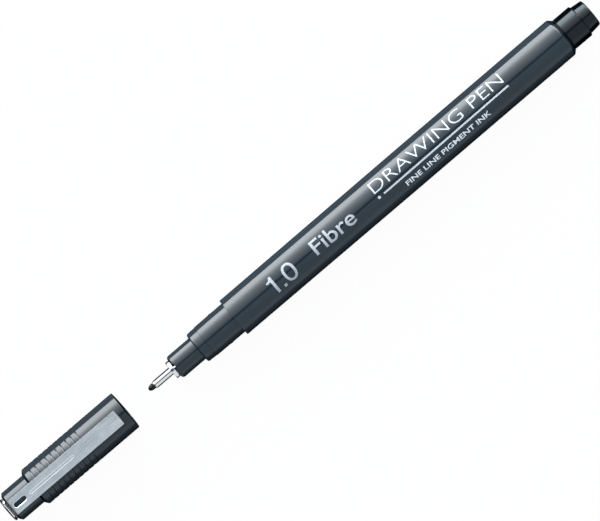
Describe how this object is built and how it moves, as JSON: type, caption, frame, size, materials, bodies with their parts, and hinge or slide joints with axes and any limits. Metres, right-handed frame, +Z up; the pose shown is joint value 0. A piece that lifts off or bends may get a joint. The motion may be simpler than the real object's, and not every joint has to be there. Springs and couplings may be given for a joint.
{
  "type": "technical pen",
  "caption": "Slim fibre-tip drawing pen with a steel-sleeved point, a stepped tail, and a ringed cap with a sprung steel clip, shown with the cap off.",
  "frame": {"origin": "middle of the whole length, cap off, on the plane that the pen lies on", "axes": "+X from the cap and the point towards the tail, along the pen's axis; +Z up, where the clip is; the pen's axis is 5.0 mm above the plane"},
  "size_m": [0.1714, 0.01, 0.0111],
  "materials": {
    "fibre_point": "matte felted fibre, ink black",
    "steel_tube": "bright drawn steel",
    "turned_collar": "bright turned steel",
    "inner_plastic": "natural moulded plastic",
    "ink_fibre": "bonded fibre, soaked with ink",
    "section_plastic": "semi-gloss moulded plastic",
    "barrel_plastic": "semi-gloss moulded plastic",
    "clear_film": "thin plastic film",
    "tail_plastic": "semi-gloss black plastic",
    "cap_plastic": "semi-gloss moulded plastic",
    "liner_plastic": "soft matte sealing plastic",
    "clip_steel": "satin stainless sheet"
  },
  "bodies": {
    "pen": {"nib": "fibre_point", "nib_sleeve": "steel_tube", "nib_collar": "turned_collar", "nib_bush": "inner_plastic", "relay_wick": "ink_fibre", "nose_cone": "section_plastic", "grip_section": "section_plastic", "barrel": "barrel_plastic", "reservoir_core": "ink_fibre", "reservoir_film": "clear_film", "breather_tube": "inner_plastic", "tail_plug": "tail_plastic"},
    "liner": {"cap_liner": "liner_plastic"},
    "cap": {"cap_shell": "cap_plastic", "cap_end_plug": "tail_plastic"},
    "clip": {"cap_clip": "clip_steel"}
  },
  "joints": [
    {"name": "cap_slide", "type": "slide", "parent": "pen", "child": "liner", "axis": [1, 0, 0], "range_m": [0, 0.03175]},
    {"name": "cap_turn", "type": "hinge", "parent": "liner", "child": "cap", "pos_m": [-0.07015, 0, 0.005], "axis": [1, 0, 0], "continuous": true},
    {"name": "clip_flex", "type": "hinge", "parent": "cap", "child": "clip", "pos_m": [-0.08395, 0, 0.0098], "axis": [0, -1, 0], "range_deg": [0, 3.5], "stiffness_Nm_per_rad": 1.5}
  ]
}
